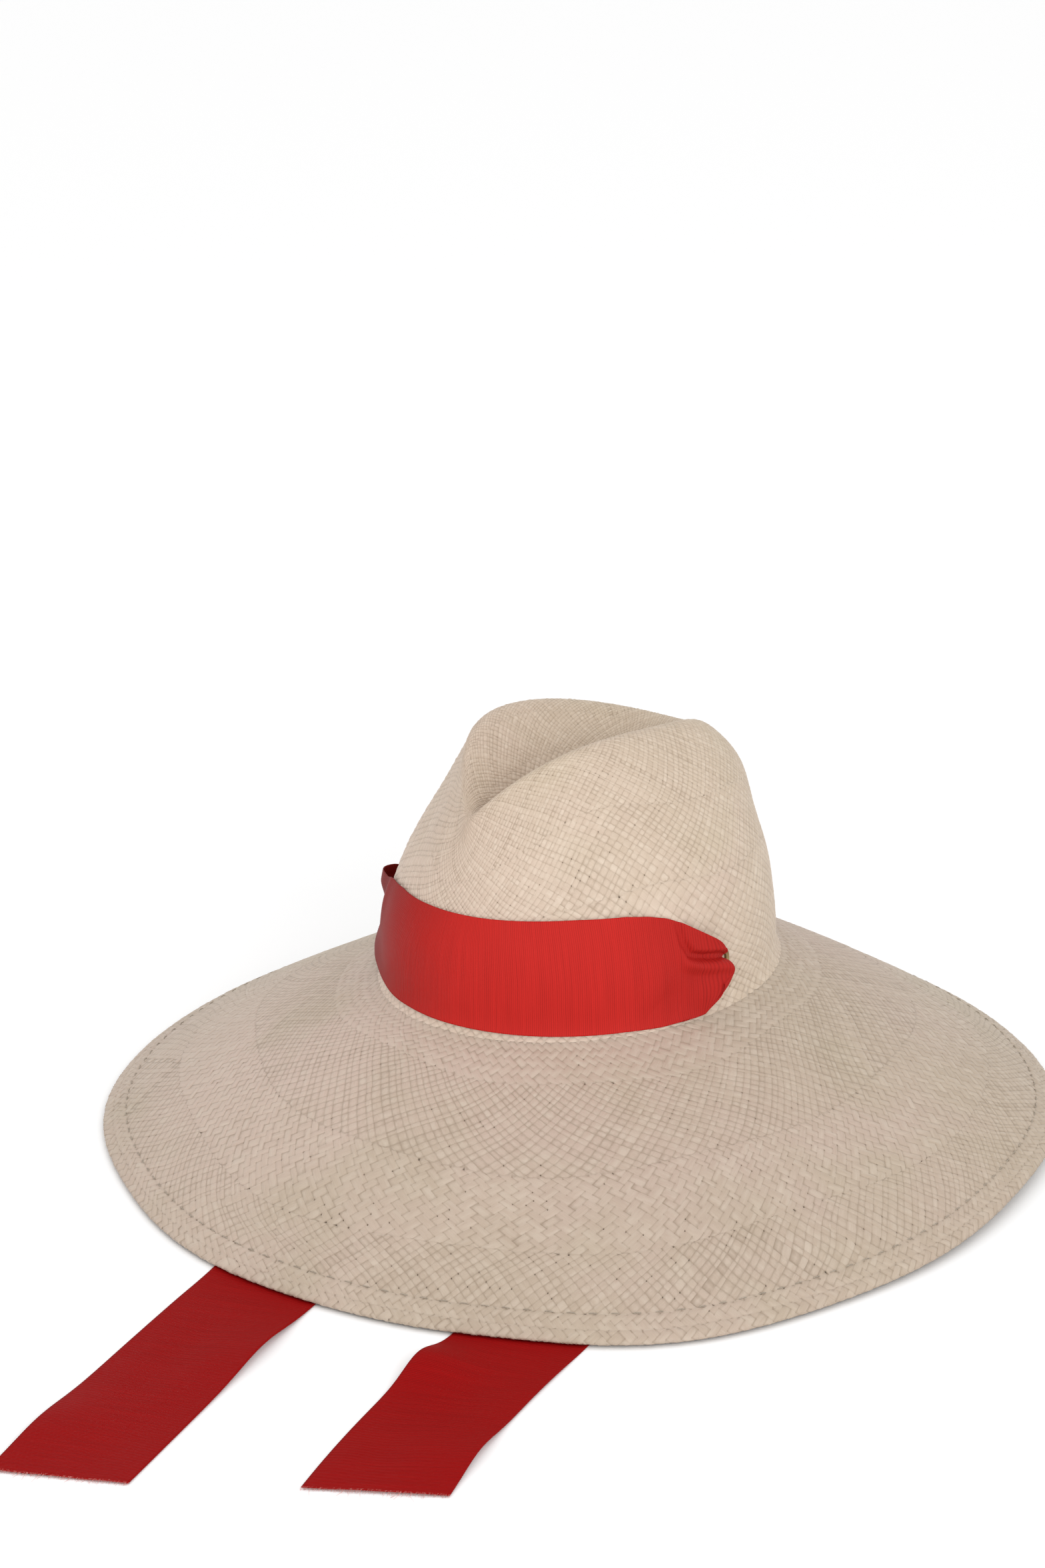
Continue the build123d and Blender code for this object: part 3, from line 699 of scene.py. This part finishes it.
def make_straw():
    """Crown and brim, outside and inside, each a sheet of real weave."""
    s = station_at_radius
    junction = KNOTS[BREAK_RING]
    crown_zones = [
        (s(2.5), s(6), 12, 1.0, "plain", 0.0),
        (s(6) + 0.25, s(11), 24, 1.0, "plain", 0.0),
        (s(11) + 0.25, s(20), 44, 1.0, "plain", 0.01),
        (s(20) + 0.3, s(36), 76, 1.0, "plain", 0.02),
        (s(36) + 0.3, s(52), 116, 1.0, "plain", 0.04),
        (s(52) + 0.3, s(78), 152, 1.0, "plain", 0.06),
        (s(78) + 0.4, s(88), 134, 1.1, "plain", 0.06),
        (s(88) + 0.4, junction + 1.0, 116, 1.25, "plain", 0.05),
    ]
    brim_zones = [
        (junction - 2.0, s(116), 140, 1.05, "ring_twill", 0.02),
        (s(116) + 0.4, s(158), 176, 1.0, "plain", 0.07),
        (s(158) + 0.4, s(194), 216, 1.0, "turn_twill", 0.09),
        (s(194) + 0.4, SEAM_STATION, 252, 1.0, "plain", 0.12),
        (SEAM_STATION + 0.4, SECOND_SEAM, 300, 1.0, "ring_twill", 0.03),
        (SECOND_SEAM + 0.4, KNOTS[LAST_RING], 280, 1.0, "turn_twill", 0.02),
    ]
    under_zones = [
        (junction, s(118), 144, 1.05, "ring_twill", 0.02),
        (s(118) + 0.4, s(158), 176, 1.0, "plain", 0.03),
        (s(158) + 0.4, s(194), 216, 1.0, "turn_twill", 0.03),
        (s(194) + 0.4, SEAM_STATION - 0.4, 252, 1.0, "plain", 0.04),
        (SEAM_STATION, KNOTS[TOP_EDGE_RING] - 0.6, 300, 1.0, "ring_twill", 0.0),
    ]
    # the brim's and the inside's straw are copies darkened with painted shade
    upper = straw_material("straw")
    outer = straw_material("straw_brim", BRIM_PAINTED_SHADE)
    lower = straw_material("straw_inside", INSIDE_PAINTED_SHADE)
    woven_piece("straw_crown", crown_zones, lambda station: 0.0, True, upper)
    woven_piece("straw_brim", brim_zones, hem_step, True, outer)
    woven_piece("straw_crown_inside", crown_zones, lambda station: STRAW, False, lower)
    woven_piece("straw_brim_underside", under_zones, hem_depth, False, lower)


# ---- ribbon round the crown
# outline of the ribbon round the crown: degrees round from the front, and height
BAND_TOP = ((-76.3, 105), (-74.5, 109), (-72, 115.5), (-68, 118), (-62, 118.5), (-56, 120), (-50, 124.5),
            (-42, 129), (-30, 131.5), (-10, 132.3), (20, 133), (46, 133.7), (60, 133.2), (66.5, 131.7),
            (72, 129.2), (76.5, 125.4), (80.5, 120.2), (83.2, 114.8), (85.2, 109.9), (86.8, 106.8),
            (88.3, 104.8))
BAND_BOTTOM = ((-76.3, 100), (-74.5, 94), (-72, 89.5), (-68, 85.5), (-62, 83.8), (-50, 83.6), (-28, 83.6),
               (-5, 83.0), (18, 82.4), (40, 81.6), (57, 81.0), (70, 80.0), (80.0, 78.8), (81.4, 81.0),
               (83.4, 86), (85.2, 91), (86.4, 95), (87.2, 98.3), (88.3, 99.6))
# crease between the two lobes at the near end: distance from that end, and height
BAND_FOLD = ((22.5, 127.0), (21.0, 117.0), (18.0, 110.5), (9.0, 106.5), (3.0, 104.0), (0.0, 103.0))
MM_PER_DEGREE = 1.62  # length of a degree round the crown at the ribbon
GATHER_LENGTH = 4.2  # the ribbon's last stretch at each end, where it turns in through the eyelet


def cloth_sheet(name, points, x, y, material, thickness, closed=False):
    """A sheet of cloth through a grid of points, x and y being its own coordinates in millimetres."""
    quads = grid_quads(*points.shape[:2], closed)
    piece = new_piece(name, points.reshape(-1, 3), quads[:, ::-1] if closed else quads)
    own = np.stack(np.broadcast_arrays(x, y), -1).reshape(-1, 2)
    set_uv(piece, "ribbon", own[corner_indices(piece)])
    give(piece, material)
    thick = piece.modifiers.new("thickness", "SOLIDIFY")
    thick.thickness = thickness * MM
    thick.offset = 0.0
    graph = bpy.context.evaluated_depsgraph_get()
    mesh = bpy.data.meshes.new_from_object(piece.evaluated_get(graph), preserve_all_data_layers=True,
                                           depsgraph=graph)
    piece.modifiers.clear()
    piece.data = mesh
    return piece


def smooth_line(x, corners, reach):
    """Heights along a line through the corners, its bends rounded over reach steps to each side."""
    at, heights = np.array(corners, float).T
    fine = np.linspace(x[0], x[-1], 4001)
    padded = np.pad(np.interp(fine, at, heights), reach, mode="edge")
    weights = np.hanning(2 * reach + 1)
    return np.interp(x, fine, np.convolve(padded, weights / weights.sum(), mode="valid"))


def distance_to_line(x, y, corners):
    """Distance from points to a broken line, and the same with a minus sign below it."""
    corners = np.array(corners, float)
    nearest = np.full(np.broadcast(x, y).shape, 1e9)
    for first, second in zip(corners[:-1], corners[1:]):
        run = second - first
        t = np.clip(((x - first[0]) * run[0] + (y - first[1]) * run[1]) / (run @ run), 0, 1)
        gap = np.hypot(x - first[0] - t * run[0], y - first[1] - t * run[1])
        nearest = np.minimum(nearest, gap)
    above = y - np.interp(x, corners[::-1, 0], corners[::-1, 1])
    return nearest, np.where(above > 0, nearest, -nearest)


def near_lobes(near, height, fold, side_of_fold):
    """How far the ribbon stands out at its near end: a large lobe below the fold, a small one above it."""
    close = smooth_step(28.0 - near, 0, 12.0)
    low_lobe = 5.0 * bell(height, 90, 10) * (1 - smooth_step(near, 2, 24))
    high_lobe = 3.4 * smooth_step(side_of_fold, 0.2, 3.5) * bell(near, 9, 10)
    shoulder = 3.0 * bell(side_of_fold, -4.0, 3.0)
    crease = 2.6 * bell(fold, 0, 1.5) * smooth_step(near, 2, 12)
    puff = 2.0 * (1 - bell(fold, 0, 1.5)) * (1 - smooth_step(near, 6, 14))
    return close * (low_lobe + high_lobe + shoulder - crease) + puff


def far_ear(far, height, v):
    """How far the ribbon stands out at its far end: an ear above, a bulge below, and a wave beside them."""
    ear = 7.5 * bell(far, 21, 11) * smooth_step(height, 103, 114)
    bulge = 4.5 * bell(far, 34, 17) * bell(height, 88, 12)
    wave = 1.2 * bell(far, 52, 6) * smooth_step(v, 0.1, 0.9)
    return ear + bulge + wave


def make_band(material):
    """The ribbon across the crown's front, gathered into an eyelet at each end."""
    columns, rows = 620, 72
    u = np.linspace(0, 1, columns)[None, :]
    v = np.linspace(0, 1, rows)[:, None]
    first, last = BAND_TOP[0][0], BAND_TOP[-1][0]
    degrees = first + (last - first) * u
    top = smooth_line(degrees[0], BAND_TOP, 44)[None, :]
    low = smooth_line(degrees[0], BAND_BOTTOM, 24)[None, :]
    height = low + (top - low) * v
    far = (degrees - first) * MM_PER_DEGREE
    near = (last - degrees) * MM_PER_DEGREE

    fold, side_of_fold = distance_to_line(near, height, BAND_FOLD)
    stand = 0.9 + 0.25 * ripple(u * 20, v * 4, 3) + near_lobes(near, height, fold, side_of_fold)
    stand = stand + 0.8 * bell(near, 32, 10) * np.sin(v * 9 + near / 9)
    over_flange = 1 - smooth_step(near, 8, 12)
    stand = np.maximum(stand, 0.45 + 1.7 * over_flange)
    stand = stand + far_ear(far, height, v)
    inward = smooth_step(GATHER_LENGTH - np.minimum(near, far), 0, GATHER_LENGTH)
    stand = stand * (1 - inward) - THROAT * inward
    # both lobes lean over the eyelet, less so at the crease and at the top edge
    less = 0.3 * bell(fold, 0, 1.2) + 0.4 * smooth_step(v, 0.8, 1.0)
    lean = 6.5 * bell(near, 6.0, 5.0) * (1 - less) * smooth_step(v, 0.0, 0.3) * (1 - inward)

    turn = np.radians(degrees) + np.radians(lean / MM_PER_DEGREE)
    station = wall_station(turn, height)
    points = surface(turn, station) + surface_normal(turn, station) * stand[..., None]
    piece = cloth_sheet("ribbon_band", points, far, v * RIBBON_W, material, RIBBON_T)
    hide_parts("ribbon_band")
    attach(piece, "hat")


# ---- the two ties
# waves of a lying tie: height, place along it, length, the half it's in (0 for both), where it rises
WAVES = {
    "left": ((7.0, 226, 19, -1, -0.1), (2.4, 150, 34, 0, 0.0), (3.0, 300, 22, 1, -0.3)),
    "right": ((3.4, 262, 30, 1, -0.1), (1.8, 190, 40, 0, 0.0), (2.2, 345, 24, -1, -0.2)),
}
SWAY = {"left": (3.2, 47, -1.3), "right": (1.2, 70, 0.0)}  # sideways: size, length, start
TIE_SEED = {"left": 5, "right": 6}
FRINGE_SEED = {"left": 41, "right": 42}
FRINGE_THREADS = 150
FRINGE_THREAD = 0.09  # half the width of a loose thread


def tie_centre(neck, bend, heading, top_z, l):
    """The tie's middle line: down from the neck, round the bend, and out along the surface."""
    down = np.clip(l, 0, top_z)
    share = smooth_step(down / (top_z - BEND_RADIUS))[:, None]
    centre = neck * (1 - share) + bend * share
    centre[:, 2] = top_z - down
    past = l - (top_z - BEND_RADIUS)
    angle = np.clip(past / BEND_RADIUS, 0, math.pi / 2)
    beyond = np.clip(past - BEND_RADIUS * math.pi / 2, 0, None)
    ahead = BEND_RADIUS * (1 - np.cos(angle)) + beyond
    arc = past > 0
    centre[arc] = bend - heading * BEND_RADIUS * 0.4 + ahead[arc, None] * heading
    centre[arc, 2] = (BEND_RADIUS - BEND_RADIUS * np.sin(angle) + TIE_LIFT)[arc]
    # the hanging part slides over gradually to meet the arc
    first = np.argmax(arc)
    slide = centre[first] - centre[first - 1]
    slide[2] = 0
    centre[:first] += slide * smooth_step(np.arange(first) / max(first - 1, 1))[:, None]
    return centre


def tie_height(side, after, v):
    """How far the lying tie rises off the surface: its waves and ripples, pressed flat under the brim."""
    on_floor = smooth_step(after / 40)
    wave = 0.0
    for size, place, length, half, start in WAVES[side]:
        rise = smooth_step(half * v, start, 0.5) if half else 1.0
        wave = wave + size * bell(after, place, length) * rise
    ripples = 0.5 * (1 + ripple(after / 40, v * 3, TIE_SEED[side])) * on_floor
    return (wave * on_floor + ripples) * (1 - bell(after, *UNDER_EDGE[side]))


def make_tie(side, material):
    """One tie: gathered at its eyelet, hanging to the surface, and lying along it to a frayed end."""
    heading = np.array([math.cos(TIE_HEADING), math.sin(TIE_HEADING), 0.0])
    across = np.array([-heading[1], heading[0], 0.0])
    bend = np.array([*TIE_BEND[side], 0.0])
    top_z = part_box(f"tie_{side}_drop")[1][2] / MM
    neck = np.array([*JOINT_AT[f"tie_{side}_swing"][:2], top_z])
    rows, columns = 420, 49
    lying = TIE_LYING[side]
    total = top_z + lying
    l = np.linspace(0, 1, rows) * total
    v = np.linspace(-0.5, 0.5, columns)[None, :]
    centre = tie_centre(neck, bend, heading, top_z, l)

    width = TIE_NECK + (RIBBON_W - TIE_NECK) * smooth_step(l / 74.0)[:, None]
    pleat = 2.6 * (1 - smooth_step(l / 82.0))[:, None] * np.sin(v * 2 * np.pi * 3.5 + 0.6)
    face = np.where((l < top_z - BEND_RADIUS)[:, None, None], heading, np.array([0, 0, 1.0]))
    after = np.clip(l - top_z, 0, None)[:, None]
    on_floor = smooth_step(after / 40)
    size, length, start = SWAY[side]
    sway = size * np.sin(after / length + start) * on_floor
    slant = TIE_SLANT[side] * v * smooth_step(after / lying, 0.4, 1.0)
    points = centre[:, None, :] + across * (v * width + sway)[..., None]
    points = points - heading * (slant * on_floor)[..., None] + face * pleat[..., None]
    points[..., 2] += tie_height(side, after, v)

    piece = cloth_sheet(f"tie_{side}", points, l[:, None], (v + 0.5) * RIBBON_W, material, RIBBON_T)
    fringe = make_fringe(side, points[-1], points[-2])
    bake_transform(piece)
    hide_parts(f"tie_{side}_drop", f"tie_{side}_tail")


def make_fringe(side, edge, before):
    """Loose threads at a cut end, whose edge runs through these points."""
    draw = np.random.default_rng(FRINGE_SEED[side])
    along = (edge - before).mean(0)
    along = along / np.linalg.norm(along)
    across = np.array([-along[1], along[0], 0])
    points, quads = [], []
    for spot in np.linspace(0, len(edge) - 1.001, FRINGE_THREADS):
        i = int(spot)
        root = edge[i] * (1 - spot + i) + edge[i + 1] * (spot - i)
        length = draw.uniform(0.6, 2.4) + (draw.random() < 0.12) * draw.uniform(1.5, 4.5)
        lean = draw.normal(0, 0.35)
        start = len(points)
        for t in (0.0, 0.5, 1.0):
            middle = root + along * (length * t - 0.4) + across * lean * length * t * t
            middle[2] = root[2] * (1 - t) + 0.35 * t + draw.uniform(0, 0.3)
            w = FRINGE_THREAD * (1 - 0.6 * t)
            points += [middle - across * w, middle + across * w, middle + np.array([0, 0, 2 * w])]
        for a in (start, start + 3):
            quads += [(a, a + 1, a + 4, a + 3), (a + 1, a + 2, a + 5, a + 4), (a + 2, a, a + 3, a + 5)]
    fringe = new_piece(f"tie_{side}_fringe", np.array(points), quads)
    set_uv(fringe, "ribbon", np.zeros((len(fringe.data.loops), 2)))
    give(fringe, THREADS["pink"])
    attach(fringe, f"tie_{side}_lying")
    return fringe


# ---- sweatband, tape and threads
def make_sweatband(material):
    """The band inside the head opening, a soft folded strip following the crown's wall."""
    columns, rows = 360, 18
    turn = np.linspace(0, 2 * np.pi, columns + 1)[None, :-1]
    v = np.linspace(0, 1, rows)[:, None]
    height = sweat_low[2] + (sweat_high[2] - sweat_low[2]) * v
    station = wall_station(turn, np.maximum(height, BREAK_Z + 2.0))
    inner = STRAW + 1.0 + 0.35 * ripple(turn * 6, v * 3, 21) * smooth_step(v, 0.2, 1.0)
    points = surface(turn, station) - surface_normal(turn, station) * inner[..., None]
    points[..., 2] = height
    mean_radius = (CROWN_A + CROWN_B) / 2 - 3
    piece = cloth_sheet("sweatband", points, turn * mean_radius, height, material, SWEATBAND_T, closed=True)
    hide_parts("sweatband")
    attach(piece, "hat")


def make_tape(material):
    """A small folded tape over the sweatband's join."""
    low, high = [np.array(corner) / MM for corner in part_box("sweatband_seam_tape")]
    width, tall = high[0] - low[0], high[2] - low[2]
    columns, rows = 25, 41
    u = np.linspace(-0.5, 0.5, columns)[None, :]
    v = np.linspace(0, 1, rows)[:, None]
    y = high[1] + (low[1] + 1.0 - high[1]) * (0.35 + 0.65 * v) - 0.9 + 0.35 * np.cos(u * 2 * np.pi)
    points = np.stack(np.broadcast_arrays(u * width, y - 0.2 * np.sin(v * 7), low[2] + tall * v), -1)
    piece = cloth_sheet("sweatband_seam_tape", points, u * width, points[..., 2], material, TAPE_T)
    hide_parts("sweatband_seam_tape")
    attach(piece, "hat")


def make_stitches(name, count, station_of_row, depth, length, thick, material):
    """A row of stitches, each a short thread between two holes, at this depth inside the hat."""
    sides, steps = 6, 7
    turn = (np.arange(count) + 0.5) * 2 * np.pi / count
    station = station_of_row(turn)
    middle = surface(turn, station)
    normal = surface_normal(turn, station) * (1 if depth <= 0 else -1)
    along = np.cross([0, 0, 1.0], normal)
    along /= np.linalg.norm(along, axis=1, keepdims=True)
    across = np.cross(normal, along)
    middle, normal, along, across = [part[:, None, None, :] for part in (middle, normal, along, across)]
    t = np.linspace(-1, 1, steps)[:, None, None]
    angle = (np.arange(sides) * 2 * np.pi / sides)[:, None]
    rise = thick * (0.55 - 1.3 * t ** 4) + depth + thick * 0.5 * np.cos(angle)
    points = middle + along * (t * length / 2) + normal * rise + across * (thick * 0.5 * np.sin(angle))
    block = steps * sides
    tube = grid_quads(steps, sides, closed=True)
    quads = (tube[None, :, :] + (np.arange(count) * block)[:, None, None]).reshape(-1, 4)
    piece = new_piece(name, points.reshape(-1, 3), quads)
    own = np.stack(np.meshgrid(t * length, angle, indexing="ij"), -1).reshape(-1, 2)
    set_uv(piece, "ribbon", np.tile(own, (count, 1))[corner_indices(piece)])
    give(piece, material)
    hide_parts(name)
    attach(piece, "hat")


# ---- stage
LOOK_AT = Vector((0, 0, 0.100))


def place_facing(data, azimuth, elevation, distance):
    """Adds a camera or lamp that faces the hat, azimuth in degrees from the hat's front towards +X."""
    a, e = math.radians(azimuth), math.radians(elevation)
    back = Vector((math.sin(a) * math.cos(e), -math.cos(a) * math.cos(e), math.sin(e)))
    thing = bpy.data.objects.new(data.name, data)
    thing.location = LOOK_AT + back * distance
    thing.rotation_mode = "QUATERNION"
    thing.rotation_quaternion = (-back).to_track_quat("-Z", "Y")
    bpy.context.scene.collection.objects.link(thing)
    return thing


def make_camera():
    data = bpy.data.cameras.new("camera")
    data.lens = 91.84
    data.sensor_width = 36
    data.shift_x = -0.0374
    data.shift_y = 0.0859
    data.clip_end = 50
    bpy.context.scene.camera = place_facing(data, 40, 22, 1.880)


def make_lamp(name, azimuth, elevation, distance, size, watts):
    """A square soft lamp, its distance and size in metres."""
    data = bpy.data.lights.new(name, "AREA")
    data.size = size
    data.energy = watts
    place_facing(data, azimuth, elevation, distance)


def make_stage():
    """A plain pale floor, a pale world and soft lamps."""
    corners = np.array([(-1, -1, 0), (1, -1, 0), (1, 1, 0), (-1, 1, 0)])
    floor = new_piece("floor", corners * 6000, [(0, 1, 2, 3)])
    n = Nodes("floor")
    give(floor, n.finish(Base_Color=(0.98, 0.98, 0.98), Roughness=0.9, Specular_IOR_Level=0.1))
    world = bpy.data.worlds.new("world")
    world.use_nodes = True
    background = world.node_tree.nodes["Background"].inputs
    background["Color"].default_value = (1, 1, 1, 1)
    background["Strength"].default_value = 1.0
    bpy.context.scene.world = world
    bpy.context.scene.view_settings.view_transform = "Standard"
    make_lamp("key", 60, 26, 2.2, 0.9, 12)
    make_lamp("front", 34, 18, 2.2, 1.2, 4)


# ---- build
make_camera()
make_stage()
THREADS = {
    "straw": cloth_material("straw_thread", (0.60, 0.51, 0.39), (0.54, 0.45, 0.34), 0.5),
    "pink": cloth_material("frayed_thread", (0.72, 0.22, 0.20), (0.80, 0.45, 0.42), 0.5),
}
make_straw()
# the band's red is painted light and its darker stretches painted shade; the ties' red is painted shade
make_band(ribbon_material("grosgrain", LIT_BAND_RED, 0.08, PAINTED_SHADE_STRETCHES))
tie_ribbon = ribbon_material("grosgrain_ties", SHADED_TIE_RED, 0.03)
for tie_side in ("left", "right"):
    make_tie(tie_side, tie_ribbon)
make_sweatband(cloth_material("sweatband_cloth", (0.78, 0.72, 0.62), (0.70, 0.62, 0.50)))
make_tape(cloth_material("tape_cloth", (0.80, 0.75, 0.66), (0.74, 0.67, 0.56), 0.7))
make_stitches("hem_stitching", 150, lambda turn: np.full(turn.shape, SEAM_STATION), 0.0, 3.6, 0.4,
              THREADS["straw"])
make_stitches("sweatband_stitching", 110, lambda turn: wall_station(turn, BREAK_Z + 4.0), STRAW + 1.5, 3.0,
              0.45, THREADS["straw"])
brass = brass_material()
for side in ("left", "right"):
    give(frame["nodes"][f"eyelet_{side}"], brass)
    give(frame["nodes"][f"eyelet_washer_{side}"], brass)
